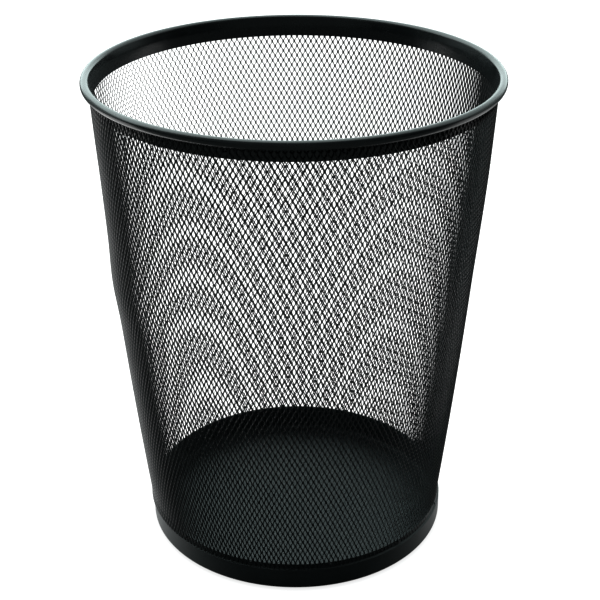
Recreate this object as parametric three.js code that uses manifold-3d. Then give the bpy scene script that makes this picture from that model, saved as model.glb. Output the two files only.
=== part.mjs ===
// Round office wastebasket of black powder-coated steel: an expanded-metal wall on a stamped floor pan,
// under a rolled rim. Millimetres, +Z up, origin on the ground at the centre of the base.
import * as THREE from "three";
import { mergeVertices } from "three/addons/utils/BufferGeometryUtils.js";
import Module from "manifold-3d";

const wasm = await Module();
wasm.setup();

// Driving dimensions
const HEIGHT = 360;
const RIM_RADIUS = 147.5; // outside of the rolled bead
const BEAD_RADIUS = 3.1;
const RIM_SHEET = 0.7;
const SKIRT_BOTTOM = 344.7; // lower edge of the plain band inside the mouth
const NECK_RISE = 2.3; // above the mesh the strip leans outwards, before it curls into the bead
const NECK_LEAN = 0.4;
const CURL_START = 170; // degrees round the bead: the neck runs into its inner side
const CURL_END = -112; // the curl stops over the top edge of the mesh

const WALL_THICKNESS = 1.2; // depth of the raised mesh, over its twisted strands
const WALL_BOTTOM = 18.5;
const WALL_TOP = 351.9;
const WALL_STRAIGHT_TOP = 27; // the wall stands upright around the pan up to here
const WALL_FOOT_RADIUS = 113.8;
const WALL_MOUTH_RADIUS = 142;
const WALL_BULGE = 2.5; // how far the cone is bowed outwards at mid height

const PAN_SHEET = 0.8;
const PAN_RADIUS = 113.6; // the plain band that shows under the mesh
const PAN_CORNER = 4;
const PAN_HEIGHT = 21.8;
const PAN_SHOULDER_TOP = 18.1;
const PAN_SHOULDER_DROP = 1;
const PAN_SHOULDER_THINNING = PAN_SHEET / 4; // the stamped shoulder is drawn thinner than the sheet

const CONTACT_GAP = 0.3; // clearance between pieces that touch on the real basket
const PAN_SHOULDER_INSET = PAN_RADIUS - (WALL_FOOT_RADIUS - WALL_THICKNESS - CONTACT_GAP);

const WELD_RADIUS = 1.3;
const RIM_WELDS = 12;
const PAN_WELDS = 12;
const SEAM_WELDS = 6;
const RIM_WELD_HEIGHT = 348.3;
const PAN_WELD_HEIGHT = 20.3;
const SEAM_FIRST_WELD = 60;
const SEAM_LAST_WELD = 310;
const HOLE_LENGTH = 4 * WALL_THICKNESS; // long enough to pass right through the sloping wall

// Round pieces share one count of facets, so their flats line up and the gaps stay even.
const FACETS = 72;
const FACET_ANGLE = (2 * Math.PI) / FACETS;
const SEAM_FACET = 35; // the lap of the mesh sheet runs up the left-hand side
const FIRST_WELD_FACET = 2;
const WELD_SIDES = 12;
const WALL_STEPS = 6;
const CURL_STEPS = 12;
const CORNER_STEPS = 4;
const MERGE_DISTANCE = 1e-4;

// Powder coat
const STEEL_BLACK = 0x0c0f10;
const METALNESS = 0.15;
const RIM_ROUGHNESS = 0.3;
const PAN_ROUGHNESS = 0.35;
const MESH_ROUGHNESS = 0.45;
const WELD_ROUGHNESS = 0.5;

const basket = new THREE.Group();

function powderCoat(roughness) {
  return new THREE.MeshStandardMaterial({ color: STEEL_BLACK, roughness, metalness: METALNESS });
}

function addPiece(name, geometry, roughness) {
  const piece = new THREE.Mesh(geometry, powderCoat(roughness));
  piece.name = name;
  basket.add(piece);
  return piece;
}

// Spins a profile of [radius, height] points about the vertical axis.
function spin(points) {
  const geometry = new THREE.LatheGeometry(
    points.map(([radius, height]) => new THREE.Vector2(radius, height)),
    FACETS,
  );
  geometry.rotateX(Math.PI / 2);
  return geometry;
}

function toSolid(geometry) {
  const bare = geometry.clone();
  bare.deleteAttribute("normal");
  bare.deleteAttribute("uv");
  const merged = mergeVertices(bare, MERGE_DISTANCE);
  return new wasm.Manifold(
    new wasm.Mesh({
      numProp: 3,
      vertProperties: merged.attributes.position.array,
      triVerts: new Uint32Array(merged.index.array),
    }),
  );
}

function toGeometry(solid) {
  const mesh = solid.getMesh();
  const geometry = new THREE.BufferGeometry();
  geometry.setAttribute("position", new THREE.BufferAttribute(mesh.vertProperties, 3));
  geometry.setIndex(new THREE.BufferAttribute(mesh.triVerts, 1));
  const flat = geometry.toNonIndexed();
  flat.computeVertexNormals();
  return flat;
}

// Outside radius of the mesh wall: upright around the pan, then a cone with a slight outward bow.
function wallRadius(height) {
  if (height <= WALL_STRAIGHT_TOP) return WALL_FOOT_RADIUS;
  const t = (height - WALL_STRAIGHT_TOP) / (WALL_TOP - WALL_STRAIGHT_TOP);
  const cone = WALL_FOOT_RADIUS + (WALL_MOUTH_RADIUS - WALL_FOOT_RADIUS) * t;
  return cone + WALL_BULGE * 4 * t * (1 - t);
}

// Points along an arc about [radius, height], between two angles in degrees.
function arc(centre, size, from, to, steps) {
  const points = [];
  for (let i = 0; i <= steps; i++) {
    const angle = ((from + ((to - from) * i) / steps) * Math.PI) / 180;
    points.push([centre[0] + size * Math.cos(angle), centre[1] + size * Math.sin(angle)]);
  }
  return points;
}

// Closed outline of a bent sheet: its centre line moved half a thickness to each side.
function sheetOutline(line, thickness) {
  const sides = [1, -1].map((side) =>
    line.map(([radius, height], i) => {
      const before = line[Math.max(i - 1, 0)];
      const after = line[Math.min(i + 1, line.length - 1)];
      const run = after[0] - before[0];
      const rise = after[1] - before[1];
      const reach = (side * thickness) / 2 / Math.hypot(run, rise);
      return [radius + rise * reach, height - run * reach];
    }),
  );
  const outline = [...sides[0], ...sides[1].reverse()];
  return [...outline, outline[0]];
}

// Mesh wall: the expanded-metal sheet as one thin closed cone, open at both ends.
function wallSolid() {
  const heights = [WALL_BOTTOM, WALL_STRAIGHT_TOP];
  for (let i = 1; i <= WALL_STEPS; i++) {
    heights.push(WALL_STRAIGHT_TOP + ((WALL_TOP - WALL_STRAIGHT_TOP) * i) / WALL_STEPS);
  }
  const outside = heights.map((height) => [wallRadius(height), height]);
  const inside = heights.map((height) => [wallRadius(height) - WALL_THICKNESS, height]).reverse();
  return toSolid(spin([...outside, ...inside, outside[0]]));
}

// Rim: one strip, a plain skirt that lies inside the mesh and a bead curled outwards over its edge.
function rimGeometry() {
  const skirtRadius = (height) =>
    wallRadius(height) - WALL_THICKNESS - CONTACT_GAP - RIM_SHEET / 2;
  const curlRadius = BEAD_RADIUS - RIM_SHEET / 2;
  const beadCentre = [RIM_RADIUS - BEAD_RADIUS, HEIGHT - BEAD_RADIUS];
  const skirt = [
    [skirtRadius(SKIRT_BOTTOM), SKIRT_BOTTOM],
    [skirtRadius(WALL_TOP), WALL_TOP],
    [skirtRadius(WALL_TOP) + NECK_LEAN, WALL_TOP + NECK_RISE],
  ];
  const bead = arc(beadCentre, curlRadius, CURL_START, CURL_END, CURL_STEPS);
  return spin(sheetOutline([...skirt, ...bead], RIM_SHEET));
}

// Floor pan: a stamped dish whose wall steps in at a shoulder, where the mesh wraps around it.
function panGeometry() {
  const side = (radius, corner, lift) => [
    ...arc([PAN_RADIUS - PAN_CORNER, PAN_CORNER], corner, -90, 0, CORNER_STEPS),
    [radius, PAN_SHOULDER_TOP - PAN_SHOULDER_DROP + lift],
    [radius - PAN_SHOULDER_INSET, PAN_SHOULDER_TOP + lift],
    [radius - PAN_SHOULDER_INSET, PAN_HEIGHT],
  ];
  const outside = side(PAN_RADIUS, PAN_CORNER, 0);
  const inside = side(PAN_RADIUS - PAN_SHEET, PAN_CORNER - PAN_SHEET, -PAN_SHOULDER_THINNING);
  return spin([[0, 0], ...outside, ...inside.reverse(), [0, PAN_SHEET]]);
}

// Where a spot weld sits: the middle of a facet, square to the sloping wall.
function weldMatrix(facet, height) {
  const angle = (facet + 0.5) * FACET_ANGLE;
  const step = 0.5;
  const slope = (wallRadius(height + step) - wallRadius(height - step)) / (2 * step);
  const radius = (wallRadius(height) - WALL_THICKNESS / 2) * Math.cos(FACET_ANGLE / 2);
  const outwards = new THREE.Vector3(Math.cos(angle), Math.sin(angle), -slope).normalize();
  const turn = new THREE.Quaternion().setFromUnitVectors(new THREE.Vector3(0, 1, 0), outwards);
  const place = new THREE.Vector3(radius * Math.cos(angle), radius * Math.sin(angle), height);
  return new THREE.Matrix4().compose(place, turn, new THREE.Vector3(1, 1, 1));
}

let wall = wallSolid();

// A weld is a round nugget that fills a clearance hole of its own in the wall.
function addWeld(name, facet, height) {
  const place = weldMatrix(facet, height);
  const hole = new THREE.CylinderGeometry(
    WELD_RADIUS + CONTACT_GAP,
    WELD_RADIUS + CONTACT_GAP,
    HOLE_LENGTH,
    WELD_SIDES,
  );
  wall = wall.subtract(toSolid(hole.applyMatrix4(place)));
  const nugget = new THREE.CylinderGeometry(WELD_RADIUS, WELD_RADIUS, WALL_THICKNESS, WELD_SIDES);
  addPiece(name, nugget.applyMatrix4(place), WELD_ROUGHNESS);
}

function label(number) {
  return String(number).padStart(2, "0");
}

addPiece("rim_hoop", rimGeometry(), RIM_ROUGHNESS);
addPiece("floor_pan", panGeometry(), PAN_ROUGHNESS);

for (let i = 0; i < RIM_WELDS; i++) {
  const facet = FIRST_WELD_FACET + (i * FACETS) / RIM_WELDS;
  addWeld("rim_spot_weld_" + label(i + 1), facet, RIM_WELD_HEIGHT);
}
for (let i = 0; i < PAN_WELDS; i++) {
  const facet = FIRST_WELD_FACET + (i * FACETS) / PAN_WELDS;
  addWeld("pan_spot_weld_" + label(i + 1), facet, PAN_WELD_HEIGHT);
}
for (let i = 0; i < SEAM_WELDS; i++) {
  const height = SEAM_FIRST_WELD + ((SEAM_LAST_WELD - SEAM_FIRST_WELD) * i) / (SEAM_WELDS - 1);
  addWeld("seam_spot_weld_" + label(i + 1), SEAM_FACET, height);
}

addPiece("mesh_wall", toGeometry(wall), MESH_ROUGHNESS);

export default basket;
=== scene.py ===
import math

import bmesh
import bpy
import numpy as np
from mathutils import Matrix, Vector


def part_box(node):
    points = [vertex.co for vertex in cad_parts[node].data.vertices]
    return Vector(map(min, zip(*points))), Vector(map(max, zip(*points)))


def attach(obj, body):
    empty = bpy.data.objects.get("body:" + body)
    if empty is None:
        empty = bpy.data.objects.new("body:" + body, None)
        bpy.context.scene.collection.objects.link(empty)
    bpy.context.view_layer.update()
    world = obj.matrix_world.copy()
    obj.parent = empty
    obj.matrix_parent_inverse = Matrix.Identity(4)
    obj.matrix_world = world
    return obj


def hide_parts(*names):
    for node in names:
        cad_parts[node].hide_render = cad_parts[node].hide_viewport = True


# Round office wastebasket: an expanded-metal wall with every opening cut through, a rolled rim, a stamped
# floor pan and the spot welds that join them. Shapes are worked out in millimetres and made in metres. The
# materials and the studio are in metres.

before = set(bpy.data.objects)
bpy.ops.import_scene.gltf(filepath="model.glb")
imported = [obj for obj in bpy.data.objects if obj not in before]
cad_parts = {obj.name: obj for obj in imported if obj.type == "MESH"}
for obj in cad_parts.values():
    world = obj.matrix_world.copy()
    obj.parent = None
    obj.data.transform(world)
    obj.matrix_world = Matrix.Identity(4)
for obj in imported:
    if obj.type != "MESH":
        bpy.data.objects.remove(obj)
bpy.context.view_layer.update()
MM = 0.001


def millimetres(node):
    low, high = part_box(node)
    return low / MM, high / MM


rim_low, rim_high = millimetres("rim_hoop")
wall_low, wall_high = millimetres("mesh_wall")
_, pan_high = millimetres("floor_pan")

# Sizes that the CAD boxes give
HEIGHT = rim_high.z
RIM_RADIUS = rim_high.y
SKIRT_BOTTOM = rim_low.z
WALL_BOTTOM = wall_low.z
WALL_TOP = wall_high.z
WALL_MOUTH_RADIUS = wall_high.y
PAN_RADIUS = pan_high.y
PAN_HEIGHT = pan_high.z

# Sizes repeated from the CAD part
BEAD_RADIUS = 3.1
RIM_SHEET = 0.7
NECK_RISE, NECK_LEAN = 2.3, 0.4  # above the mesh the rim leans outwards, before it curls
CURL_START, CURL_END = 170, -112  # degrees round the bead
WALL_THICKNESS = 1.2
WALL_STRAIGHT_TOP = 27.0
WALL_FOOT_RADIUS = 113.8
WALL_BULGE = 2.5
PAN_SHEET = 0.8
PAN_CORNER = 4.0
PAN_SHOULDER_TOP = 18.1
PAN_SHOULDER_DROP = 1.0
PAN_SHOULDER_THINNING = PAN_SHEET / 4
CONTACT_GAP = 0.3
RIM_WELDS = 12
PAN_WELDS = 12
SEAM_WELDS = 6
WELD_RADIUS = 1.3
WELD_SINK = 0.15  # a weld lies this far below both faces of the mesh
WELD_PROFILE = (  # radius and height, as shares of the weld's radius and half its thickness
    (0, -1),
    (0.8, -1),
    (1, -0.5),
    (1, 0.3),
    (0.85, 0.8),
    (0.45, 1),
    (0, 1.05),
)

# The expanded metal
COLUMNS = 203  # openings round the wall in one level row
STRAND_STEP = 4.3765  # from knot to knot along a strand; forming the cone never stretches it
STRAND_WIDTH = 0.9
STRAND_THICKNESS = 0.35
STRAND_TILT = math.radians(36)  # every strand is turned like a louvre, with its right edge inwards
KNOT_LENGTH = 1.5
FIRST_COLUMN, LAST_COLUMN = -208, 202  # half cells, counted from the right-hand side of the basket
LOWEST_LEVEL, HIGHEST_LEVEL = 2, 92  # half cells above the ground
LAP_COLUMNS = 4  # the end of the sheet lies over its start
LAP_LIFT = 1.25
SHIFT_START, SHIFT_END = -72, 64  # the lattice slips by part of a cell round the right-hand side
COLUMN_SHIFT = (-0.427, -0.143)
ROW_SHIFT = (0.042, 0.303)
END_STUB = 0.06  # a cut strand keeps at least this share of its step, and leaves as much
MESH_SECTORS = ("mesh_front_left", "mesh_front_right", "mesh_back_right", "mesh_back_left")

# How the formed wall strays from a true cone
LEAN = 1.4  # the wall below the mouth stands this far to the left
LEAN_TOP, LEAN_FULL = 300.0, 200.0
BULGE_OUT = 1.3  # a soft bulge in the left-hand side
BULGE_HEIGHT, BULGE_SPREAD = 209.0, 22.0

# How finely the shapes are divided
TURNS = 288  # segments round the rim and the pan
WELD_TURNS = 20
CORNER_STEPS, CURL_STEPS, SKIRT_STEPS = 12, 40, 3
SHARP_BEND, SHARP_WELD_BEND = math.radians(35), math.radians(50)  # edges sharper than these stay crisp
HEIGHT_SAMPLES = 721  # for adding up the rows of the mesh
JOIN_DISTANCE = 0.001  # corners on the axis closer than this become one


def smooth(t):
    t = np.clip(t, 0.0, 1.0)
    return t * t * (3 - 2 * t)


def wall_radius(height):
    """Outside radius of the mesh wall at each height."""
    t = np.clip((height - WALL_STRAIGHT_TOP) / (WALL_TOP - WALL_STRAIGHT_TOP), 0, None)
    cone = WALL_FOOT_RADIUS + (WALL_MOUTH_RADIUS - WALL_FOOT_RADIUS) * t
    return cone + WALL_BULGE * 4 * t * (1 - t)


def wall_stray(angle, height):
    """How far the formed wall stands outside its true cone."""
    lean = LEAN * smooth((LEAN_TOP - height) / (LEAN_TOP - LEAN_FULL))
    bulge = BULGE_OUT * np.exp(-(((height - BULGE_HEIGHT) / BULGE_SPREAD) ** 2))
    return -lean * np.cos(angle) + bulge * np.clip(-np.cos(angle), 0, None)


def row_heights(rows):
    """Heights of the given counts of rows above the ground. Rows are taller where the cone is narrow."""
    height = np.linspace(0, HEIGHT, HEIGHT_SAMPLES)
    radius = wall_radius(height) - WALL_THICKNESS / 2
    row = 2 * np.sqrt(STRAND_STEP**2 - (math.pi * radius / COLUMNS) ** 2)
    density = np.sqrt(1 + np.gradient(radius, height) ** 2) / row
    count = np.concatenate([[0], np.cumsum((density[1:] + density[:-1]) / 2 * np.diff(height))])
    return np.interp(rows, count, height)


def add_mesh(name, points, faces, smooth_angle=None):
    """A new object from points in millimetres and faces of four corners. Unused points are left out."""
    used, corners = np.unique(np.asarray(faces), return_inverse=True)
    corners = corners.ravel()
    points = np.asarray(points)[used] * MM
    data = bpy.data.meshes.new(name)
    data.vertices.add(len(points))
    data.vertices.foreach_set("co", points.astype(np.float32).ravel())
    data.loops.add(corners.size)
    data.loops.foreach_set("vertex_index", corners.astype(np.int32))
    starts = np.arange(0, corners.size, 4, dtype=np.int32)
    data.polygons.add(len(starts))
    data.polygons.foreach_set("loop_start", starts)
    data.update(calc_edges=True)
    data.validate()
    if smooth_angle:
        data.shade_smooth()
        data.set_sharp_from_angle(angle=smooth_angle)
    piece = bpy.data.objects.new(name, data)
    bpy.context.scene.collection.objects.link(piece)
    return piece


def close_axis(piece):
    """Joins the corners that lie together on the axis of a turned piece."""
    shape = bmesh.new()
    shape.from_mesh(piece.data)
    bmesh.ops.remove_doubles(shape, verts=shape.verts, dist=JOIN_DISTANCE * MM)
    shape.to_mesh(piece.data)
    shape.free()


def finish_piece(piece, slot, material, *nodes):
    piece.data.materials.append(material)
    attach(piece, "root")
    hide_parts(*nodes)


# ---------------------------------------------------------------- materials


# Powder coat
PATCH_SCALE = 38.0  # patches of gloss and colour, per metre
SPECK_SCALE = 2.3  # specks are this much finer than the grain
DRIFT_LOW, DRIFT_HIGH = 0.12, 0.42  # patches times specks: the colour goes from dark to light here
GLOSS_LOW, GLOSS_HIGH = 0.3, 0.7  # the patches' range for the drift of gloss
GLOSSIER, DULLER = -0.05, 0.06
PEEL_STRENGTH = 0.5


def add_node(tree, kind, **inputs):
    """A shader node with its inputs set. An underscore stands for the space in an input's name."""
    node = tree.nodes.new(kind)
    for name, value in inputs.items():
        node.inputs[name.replace("_", " ")].default_value = value
    return node


def rescale(tree, value, start, stop, low=0.0, high=1.0, kind="LINEAR"):
    """Carries value from the range start to stop over to the range low to high, and holds it there."""
    node = add_node(
        tree, "ShaderNodeMapRange", From_Min=start, From_Max=stop, To_Min=low, To_Max=high
    )
    node.interpolation_type = kind
    tree.links.new(value, node.inputs["Value"])
    return node.outputs["Result"]


def calculate(tree, operation, first, second=None):
    node = tree.nodes.new("ShaderNodeMath")
    node.operation = operation
    for socket, value in zip(node.inputs, (first, second)):
        if isinstance(value, float):
            socket.default_value = value
        elif value is not None:
            tree.links.new(value, socket)
    return node.outputs["Value"]


def powder_coat(name, dark, light, roughness, grain, depth, ior=1.55):
    """Black powder coat: orange-peel bump, patchy gloss and a slight drift of colour.

    grain is the scale of the peel per metre, and depth is its height in millimetres.
    """
    material = bpy.data.materials.new(name)
    material.use_nodes = True
    tree = material.node_tree
    shader = tree.nodes["Principled BSDF"]
    shader.inputs["IOR"].default_value = ior

    place = tree.nodes.new("ShaderNodeTexCoord")
    peel = add_node(tree, "ShaderNodeTexNoise", Scale=grain, Detail=3.0, Roughness=0.6)
    patches = add_node(tree, "ShaderNodeTexNoise", Scale=PATCH_SCALE, Detail=4.0, Roughness=0.55)
    specks = add_node(tree, "ShaderNodeTexNoise", Scale=grain * SPECK_SCALE, Detail=1.0)
    for noise in (peel, patches, specks):
        tree.links.new(place.outputs["Object"], noise.inputs["Vector"])

    tone = tree.nodes.new("ShaderNodeMix")
    tone.data_type = "RGBA"
    tone.inputs["A"].default_value = (*dark, 1)
    tone.inputs["B"].default_value = (*light, 1)
    drift = calculate(tree, "MULTIPLY", patches.outputs["Fac"], specks.outputs["Fac"])
    tree.links.new(rescale(tree, drift, DRIFT_LOW, DRIFT_HIGH), tone.inputs["Factor"])
    tree.links.new(tone.outputs["Result"], shader.inputs["Base Color"])

    glossy, dull = roughness + GLOSSIER, roughness + DULLER
    gloss = rescale(tree, patches.outputs["Fac"], GLOSS_LOW, GLOSS_HIGH, glossy, dull)
    tree.links.new(gloss, shader.inputs["Roughness"])

    bump = add_node(tree, "ShaderNodeBump", Strength=PEEL_STRENGTH, Distance=depth * MM)
    tree.links.new(peel.outputs["Fac"], bump.inputs["Height"])
    tree.links.new(bump.outputs["Normal"], shader.inputs["Normal"])
    return material


MESH_COAT = powder_coat(
    "mesh_black", (0.007, 0.010, 0.011), (0.017, 0.022, 0.023), 0.34, 1600, 0.03, ior=1.45
)
RIM_COAT = powder_coat("rim_black", (0.008, 0.010, 0.011), (0.018, 0.022, 0.023), 0.23, 900, 0.015)
PAN_COAT = powder_coat(
    "pan_black", (0.021, 0.026, 0.027), (0.035, 0.043, 0.045), 0.5, 900, 0.015, ior=1.4
)
WELD_COAT = powder_coat("weld_black", (0.016, 0.019, 0.020), (0.028, 0.033, 0.034), 0.45, 1400, 0.03)


# ---------------------------------------------------------------- expanded-metal wall


def lattice():
    """Points and strips of the whole sheet.

    Along the wall the sheet counts in half cells: column c and level k. A knot sits where c + k is odd.
    A strip is a zigzag band of strands, joined to the next strip at knots. It runs up between two
    neighbouring columns, and touches them by turns.
    """
    columns = np.arange(FIRST_COLUMN, LAST_COLUMN + 1)
    levels = np.arange(LOWEST_LEVEL, HIGHEST_LEVEL + 1)
    slip = smooth((columns - SHIFT_START) / (SHIFT_END - SHIFT_START))
    column_shift = COLUMN_SHIFT[0] + (COLUMN_SHIFT[1] - COLUMN_SHIFT[0]) * slip
    row_shift = ROW_SHIFT[0] + (ROW_SHIFT[1] - ROW_SHIFT[0]) * slip
    angle = (columns / 2 - column_shift) / COLUMNS * 2 * math.pi
    lap = LAP_LIFT * smooth((columns - (LAST_COLUMN - 2 * LAP_COLUMNS)) / LAP_COLUMNS)

    middle = row_heights(levels[None, :] / 2 - row_shift[:, None])
    height = middle[:, :, None] + np.array([-0.5, 0.5]) * KNOT_LENGTH  # lower and upper end of each knot
    turn = np.broadcast_to(angle[:, None, None], height.shape)
    radius = wall_radius(height) - WALL_THICKNESS / 2 + wall_stray(turn, height) + lap[:, None, None]

    across = np.array([math.cos(STRAND_TILT), -math.sin(STRAND_TILT)])  # tangent, radius
    through = np.array([math.sin(STRAND_TILT), math.cos(STRAND_TILT)])

    def points(sideways):
        """Both faces of the sheet, that many millimetres across the strand from each knot's centre."""
        faces = []
        for side in (0.5, -0.5):
            offset = across * sideways + through * side * STRAND_THICKNESS
            out = radius + offset[1]
            x = out * np.cos(turn) - offset[0] * np.sin(turn)
            y = out * np.sin(turn) + offset[0] * np.cos(turn)
            faces.append(np.stack([x, y, height], -1))
        return np.stack(faces, 3)  # column, level, end, face, xyz

    knots = points(0.0)
    right = points(STRAND_WIDTH)[:-1]  # the free edge of a strip that is held on its left
    left = points(-STRAND_WIDTH)[1:]
    held_left = (columns[:-1, None] + levels[None, :]) % 2 == 1
    free = np.where(held_left[:, :, None, None, None], right, left)

    knot_ids = np.arange(knots[..., 0].size).reshape(knots.shape[:-1])
    free_ids = knot_ids.size + np.arange(free[..., 0].size).reshape(free.shape[:-1])
    pick = held_left[:, :, None, None]
    left_ids = np.where(pick, knot_ids[:-1], free_ids)
    right_ids = np.where(pick, free_ids, knot_ids[1:])
    strips = len(columns) - 1
    left_ids = left_ids.reshape(strips, -1, 2)  # strip, step, face
    right_ids = right_ids.reshape(strips, -1, 2)
    cloud = np.concatenate([knots.reshape(-1, 3), free.reshape(-1, 3)])
    return cloud, left_ids, right_ids, held_left


def trim(cloud, left_ids, right_ids, cut, upwards):
    """Ends every strip at the height cut, part-way along a strand.

    Returns the end corners, on the left and on the right, and each strip's last whole step.
    """
    mid = (cloud[left_ids[:, :, 0], 2] + cloud[right_ids[:, :, 0], 2]) / 2
    strips = np.arange(len(mid))
    if upwards:
        step = np.array([np.flatnonzero(row[1::2] < cut)[-1] * 2 + 1 for row in mid])
        beyond = step + 1
    else:
        step = np.array([np.flatnonzero(row[::2] > cut)[0] * 2 for row in mid])
        beyond = step - 1
    share = (cut - mid[strips, step]) / (mid[strips, beyond] - mid[strips, step])
    share = np.clip(share, END_STUB, 1 - END_STUB)[:, None, None]
    ends = []
    for ids in (left_ids, right_ids):
        inner = cloud[ids[strips, step]]
        outer = cloud[ids[strips, beyond]]
        ends.append(inner + (outer - inner) * share)
    return ends, step


def build_mesh_wall():
    cloud, left_ids, right_ids, held_left = lattice()
    (low_left, low_right), first = trim(cloud, left_ids, right_ids, WALL_BOTTOM, False)
    (high_left, high_right), last = trim(cloud, left_ids, right_ids, WALL_TOP, True)
    corners = [low_left, low_right, high_left, high_right]
    size = len(low_left) * 2
    ids = [len(cloud) + i * size + np.arange(size).reshape(-1, 2) for i in range(4)]
    cloud = np.concatenate([cloud, *[c.reshape(-1, 3) for c in corners]])

    steps = left_ids.shape[1]
    here = np.arange(steps)
    for strip, (a, b) in enumerate(zip(first, last)):
        left_ids[strip, a - 1] = ids[0][strip]
        right_ids[strip, a - 1] = ids[1][strip]
        left_ids[strip, b + 1] = ids[2][strip]
        right_ids[strip, b + 1] = ids[3][strip]
    begin, end = first - 1, last + 1
    present = (here[None, :-1] >= begin[:, None]) & (here[None, :-1] < end[:, None])
    is_knot = np.broadcast_to(here[None, :-1] % 2 == 0, present.shape)
    on_left = np.repeat(held_left, 2, axis=1)[:, :-1]

    cuts = np.linspace(0, len(present), len(MESH_SECTORS) + 1).astype(int)
    for name, low, high in zip(MESH_SECTORS, cuts, cuts[1:]):
        own = slice(low, high)
        there = present[own]
        before = np.zeros_like(there)
        before[1:] = there[:-1]
        after = np.zeros_like(there)
        after[:-1] = there[1:]
        left, right = left_ids[own], right_ids[own]
        l0, l1, r0, r1 = left[:, :-1], left[:, 1:], right[:, :-1], right[:, 1:]
        open_left = there & ~(is_knot[own] & on_left[own] & before)
        open_right = there & ~(is_knot[own] & ~on_left[own] & after)
        faces = [
            np.stack([l0[..., 0], r0[..., 0], r1[..., 0], l1[..., 0]], -1)[there],
            np.stack([r0[..., 1], l0[..., 1], l1[..., 1], r1[..., 1]], -1)[there],
            np.stack([l0[..., 1], l0[..., 0], l1[..., 0], l1[..., 1]], -1)[open_left],
            np.stack([r0[..., 0], r0[..., 1], r1[..., 1], r1[..., 0]], -1)[open_right],
        ]
        strips = np.arange(high - low)
        a, b = begin[own], end[own]
        la, ra, lb, rb = left[strips, a], right[strips, a], left[strips, b], right[strips, b]
        faces.append(np.stack([la[:, 0], la[:, 1], ra[:, 1], ra[:, 0]], -1))
        faces.append(np.stack([lb[:, 1], lb[:, 0], rb[:, 0], rb[:, 1]], -1))
        piece = add_mesh(name, cloud, np.concatenate(faces))
        finish_piece(piece, "mesh_black", MESH_COAT, "mesh_wall")


# ---------------------------------------------------------------- rim, pan and welds


def arc(centre, size, start, stop, steps):
    angles = np.radians(np.linspace(start, stop, steps + 1))
    return [(centre[0] + size * math.cos(a), centre[1] + size * math.sin(a)) for a in angles]


def sheet_outline(line, thickness):
    """Closed outline of a bent sheet, from its centre line."""
    line = np.array(line)
    run = np.gradient(line, axis=0)
    run /= np.hypot(run[:, 0], run[:, 1])[:, None]
    side = np.stack([run[:, 1], -run[:, 0]], -1) * thickness / 2
    return np.concatenate([line + side, (line - side)[::-1]])


def spin(name, outline, closed, turns=TURNS, smooth_angle=SHARP_BEND):
    """Turns an outline of (radius, height) about the vertical axis.

    An outline that isn't closed starts and ends on the axis.
    """
    outline = np.asarray(outline, float)
    angle = np.arange(turns) * 2 * math.pi / turns
    radius, height = outline[:, 0], outline[:, 1]
    x = radius * np.cos(angle)[:, None]
    y = radius * np.sin(angle)[:, None]
    z = np.broadcast_to(height, x.shape)
    ids = np.arange(x.size).reshape(x.shape)
    after = np.roll(ids, -1, axis=0)
    ahead, after_ahead = np.roll(ids, -1, axis=1), np.roll(after, -1, axis=1)
    faces = np.stack([ids, after, after_ahead, ahead], -1)
    if not closed:
        faces = faces[:, :-1]
    piece = add_mesh(name, np.stack([x, y, z], -1).reshape(-1, 3), faces.reshape(-1, 4), smooth_angle)
    if not closed:
        close_axis(piece)
    return piece


def build_rim():
    bead_centre = (RIM_RADIUS - BEAD_RADIUS, HEIGHT - BEAD_RADIUS)
    inside = WALL_THICKNESS + CONTACT_GAP + RIM_SHEET / 2
    heights = np.linspace(SKIRT_BOTTOM, WALL_TOP, SKIRT_STEPS + 1)
    skirt = [(wall_radius(h) - inside, h) for h in heights]
    neck = [(wall_radius(WALL_TOP) - inside + NECK_LEAN, WALL_TOP + NECK_RISE)]
    curl = arc(bead_centre, BEAD_RADIUS - RIM_SHEET / 2, CURL_START, CURL_END, CURL_STEPS)
    outline = sheet_outline(skirt + neck + curl, RIM_SHEET)
    rim = spin("rolled_rim", outline, closed=True)
    finish_piece(rim, "rim_black", RIM_COAT, "rim_hoop")


def build_pan():
    inset = PAN_RADIUS - (WALL_FOOT_RADIUS - WALL_THICKNESS - CONTACT_GAP)

    def side(radius, corner, lift):
        shoulder = PAN_SHOULDER_TOP + lift
        return [
            *arc((PAN_RADIUS - PAN_CORNER, PAN_CORNER), corner, -90, 0, CORNER_STEPS),
            (radius, shoulder - PAN_SHOULDER_DROP),
            (radius - inset, shoulder),
            (radius - inset, PAN_HEIGHT),
        ]

    outside = side(PAN_RADIUS, PAN_CORNER, 0)
    inside = side(PAN_RADIUS - PAN_SHEET, PAN_CORNER - PAN_SHEET, -PAN_SHOULDER_THINNING)
    outline = [(0, 0), *outside, *inside[::-1], (0, PAN_SHEET)]
    pan = spin("stamped_floor_pan", outline, closed=False)
    finish_piece(pan, "pan_black", PAN_COAT, "floor_pan")


def build_weld(name, node):
    """A low round puddle that fills the openings round one weld, square to the wall."""
    low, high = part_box(node)
    place = (low + high) / 2
    outwards = Vector((place.x, place.y, 0)).normalized()
    half = WALL_THICKNESS / 2 - WELD_SINK
    profile = [(radius * WELD_RADIUS, height * half) for radius, height in WELD_PROFILE]
    piece = spin(name, profile, closed=False, turns=WELD_TURNS, smooth_angle=SHARP_WELD_BEND)
    turn = outwards.to_track_quat("Z", "Y").to_matrix().to_4x4()
    piece.data.transform(Matrix.Translation(place) @ turn)
    finish_piece(piece, "weld_black", WELD_COAT, node)


build_mesh_wall()
build_rim()
build_pan()
for kind, welds in (("rim", RIM_WELDS), ("pan", PAN_WELDS), ("seam", SEAM_WELDS)):
    for number in range(1, welds + 1):
        build_weld(f"{kind}_weld_puddle_{number:02d}", f"{kind}_spot_weld_{number:02d}")


# ---------------------------------------------------------------- studio

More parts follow.
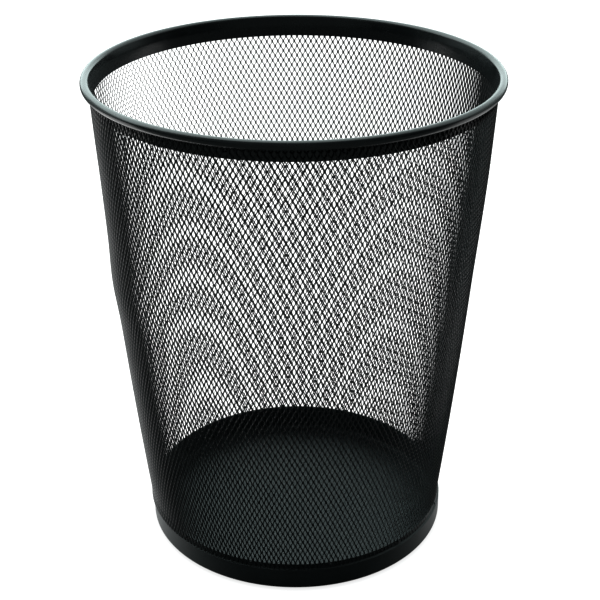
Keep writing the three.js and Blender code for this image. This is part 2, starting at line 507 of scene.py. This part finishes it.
# The basket stands between a bright backdrop and a dark room: the backdrop and the floor next to the basket
# glow, more on the left, and nothing in front of the basket does.
BACKDROP_LEFT, BACKDROP_RIGHT = 2.9, 1.2  # strength of the high part of the backdrop
BACKDROP_LOW, BACKDROP_LOW_SIDES = 2.3, 0.4  # strength near the horizon, behind the basket and beside it
BACKDROP_TINT = (0.86, 1.0, 0.99, 1)
FLOOR_LEFT, FLOOR_RIGHT = 1.5, 0.8
FLOOR_SIDE = 6000.0  # half the floor's width, in millimetres
FLOOR_DROP = 0.5  # the floor lies this far under the pan, in millimetres
FLOOR_GREY = (0.12, 0.12, 0.12, 1)
FLOOR_ROUGHNESS = 0.9
FLOOR_WHITE, CONTACT_SHADOW = 0.97, 0.55  # what the camera sees of the floor, far off and at the pan
FRONT_FILL = 0.05  # share of the backdrop's strength that comes from the room in front

# Where the light changes. On the floor, in metres from the basket's axis:
GLOW_RISE = (-0.12, 0.02)  # from front to back
GLOW_FALL = (0.3, 0.8)
GLOW_ACROSS = (-0.1, 0.1)  # from left to right
SHADOW_EDGE = (0.108, 0.123)
# On the backdrop, as parts of a direction of length 1:
BACKDROP_START = (0.05, 0.3)  # from the front to the back
BACKDROP_BEND = 0.25  # how far its top leans to the front
BACKDROP_MIDDLE = (0.75, 0.5)  # from the side to the middle
BACKDROP_ACROSS = (-0.7, 0.7)  # from left to right
BACKDROP_STEP = (0.25, 0.45)  # from its low part to its high part

WHITE_POINT, CONTRAST = 0.745, 1.24  # a contrasty print: the brightest tone, and the power of all below it

CAMERA_PLACE = (0, -932.5, 646.0)  # millimetres
CAMERA_YAW, CAMERA_PITCH, CAMERA_ROLL = 0.213, 26.49, -0.27  # degrees
CAMERA_LENS, CAMERA_SENSOR = 83.32, 36.0


def ramp(tree, value, start, stop, low=0.0, high=1.0):
    """A smooth step of value from low to high between start and stop."""
    return rescale(tree, value, start, stop, low, high, kind="SMOOTHSTEP")


def blend(tree, factor, first, second):
    node = tree.nodes.new("ShaderNodeMix")
    for name, value in (("Factor", factor), ("A", first), ("B", second)):
        tree.links.new(value, node.inputs[name])
    return node.outputs["Result"]


def choose(tree, factor, first, second, output):
    """Sends the output node the first shader where factor is 0 and the second where it is 1."""
    mix = tree.nodes.new("ShaderNodeMixShader")
    tree.links.new(factor, mix.inputs["Fac"])
    tree.links.new(first, mix.inputs[1])
    tree.links.new(second, mix.inputs[2])
    tree.links.new(mix.outputs["Shader"], tree.nodes[output].inputs["Surface"])


def split_place(tree, output):
    """The texture coordinate of that name, and its x, y and z."""
    place = tree.nodes.new("ShaderNodeTexCoord").outputs[output]
    split = tree.nodes.new("ShaderNodeSeparateXYZ")
    tree.links.new(place, split.inputs["Vector"])
    return place, split.outputs["X"], split.outputs["Y"], split.outputs["Z"]


def build_floor():
    """A white sweep for the camera. What it sheds on the basket is graded."""
    square = ((-1, -1), (1, -1), (1, 1), (-1, 1))
    corners = [(x * FLOOR_SIDE, y * FLOOR_SIDE, -FLOOR_DROP) for x, y in square]
    floor = add_mesh("studio_floor", corners, [(0, 1, 2, 3)])
    material = bpy.data.materials.new("studio_floor")
    material.use_nodes = True
    tree = material.node_tree
    shader = tree.nodes["Principled BSDF"]
    shader.inputs["Base Color"].default_value = FLOOR_GREY
    shader.inputs["Roughness"].default_value = FLOOR_ROUGHNESS
    shader.inputs["Specular IOR Level"].default_value = 0.0
    shader.inputs["Emission Color"].default_value = (1, 1, 1, 1)

    # The glow rises from the front of the basket to its middle, and dies away well behind it.
    place, x, y, _ = split_place(tree, "Object")
    rise = ramp(tree, y, *GLOW_RISE)
    fall = ramp(tree, y, *GLOW_FALL, 1.0, 0.0)
    across = ramp(tree, x, *GLOW_ACROSS, FLOOR_LEFT, FLOOR_RIGHT)
    glow = calculate(tree, "MULTIPLY", rise, calculate(tree, "MULTIPLY", fall, across))

    # The camera sees a white floor with a narrow contact shadow round the pan.
    distance = tree.nodes.new("ShaderNodeVectorMath")
    distance.operation = "LENGTH"
    tree.links.new(place, distance.inputs[0])
    seen = ramp(tree, distance.outputs["Value"], *SHADOW_EDGE, CONTACT_SHADOW, FLOOR_WHITE)
    path = tree.nodes.new("ShaderNodeLightPath")
    level = blend(tree, path.outputs["Is Camera Ray"], glow, seen)
    tree.links.new(level, shader.inputs["Emission Strength"])

    # Seen from below, the floor is left out, so that the underside of the basket shows.
    side = tree.nodes.new("ShaderNodeNewGeometry").outputs["Backfacing"]
    clear = tree.nodes.new("ShaderNodeBsdfTransparent")
    choose(tree, side, shader.outputs["BSDF"], clear.outputs["BSDF"], "Material Output")
    floor.data.materials.append(material)


def build_world():
    """White all round for the camera. For all else, a backdrop that bends forward over the basket."""
    world = bpy.data.worlds.new("studio")
    bpy.context.scene.world = world
    world.use_nodes = True
    tree = world.node_tree
    white = tree.nodes["Background"]
    white.inputs["Color"].default_value = (1, 1, 1, 1)
    white.inputs["Strength"].default_value = 1.0
    backdrop = add_node(tree, "ShaderNodeBackground", Color=BACKDROP_TINT)

    # Generated coordinates are the direction: x to the right, y to the back, z up, each from -1 to 1.
    _, x, y, z = split_place(tree, "Generated")
    bent = calculate(tree, "ADD", y, calculate(tree, "MULTIPLY", z, BACKDROP_BEND))
    behind = ramp(tree, bent, *BACKDROP_START, FRONT_FILL)
    sideways = calculate(tree, "ABSOLUTE", x)
    low = ramp(tree, sideways, *BACKDROP_MIDDLE, BACKDROP_LOW_SIDES, BACKDROP_LOW)
    high = ramp(tree, x, *BACKDROP_ACROSS, BACKDROP_LEFT, BACKDROP_RIGHT)
    part = blend(tree, ramp(tree, z, *BACKDROP_STEP), low, high)
    strength = calculate(tree, "MULTIPLY", behind, part)
    tree.links.new(strength, backdrop.inputs["Strength"])

    seen = tree.nodes.new("ShaderNodeLightPath").outputs["Is Camera Ray"]
    choose(tree, seen, backdrop.outputs["Background"], white.outputs["Background"], "World Output")


def build_camera():
    yaw, pitch, roll = (math.radians(a) for a in (CAMERA_YAW, CAMERA_PITCH, CAMERA_ROLL))
    data = bpy.data.cameras.new("camera")
    data.lens = CAMERA_LENS
    data.sensor_width = CAMERA_SENSOR
    camera = bpy.data.objects.new("camera", data)
    bpy.context.scene.collection.objects.link(camera)
    ahead = Vector(
        (math.sin(yaw) * math.cos(pitch), math.cos(yaw) * math.cos(pitch), -math.sin(pitch))
    )
    level = Vector((math.cos(yaw), -math.sin(yaw), 0))
    upright = level.cross(ahead)
    right = level * math.cos(roll) + upright * math.sin(roll)
    up = upright * math.cos(roll) - level * math.sin(roll)
    axes = Matrix((right, up, -ahead)).transposed().to_4x4()
    camera.matrix_world = Matrix.Translation(Vector(CAMERA_PLACE) * MM) @ axes
    bpy.context.scene.camera = camera


def set_tones():
    tones = bpy.context.scene.view_settings
    tones.view_transform = "Standard"
    tones.gamma = 1 / CONTRAST
    tones.use_curve_mapping = True
    tones.curve_mapping.white_level = (WHITE_POINT,) * 3
    tones.curve_mapping.update()


build_floor()
build_world()
build_camera()
set_tones()
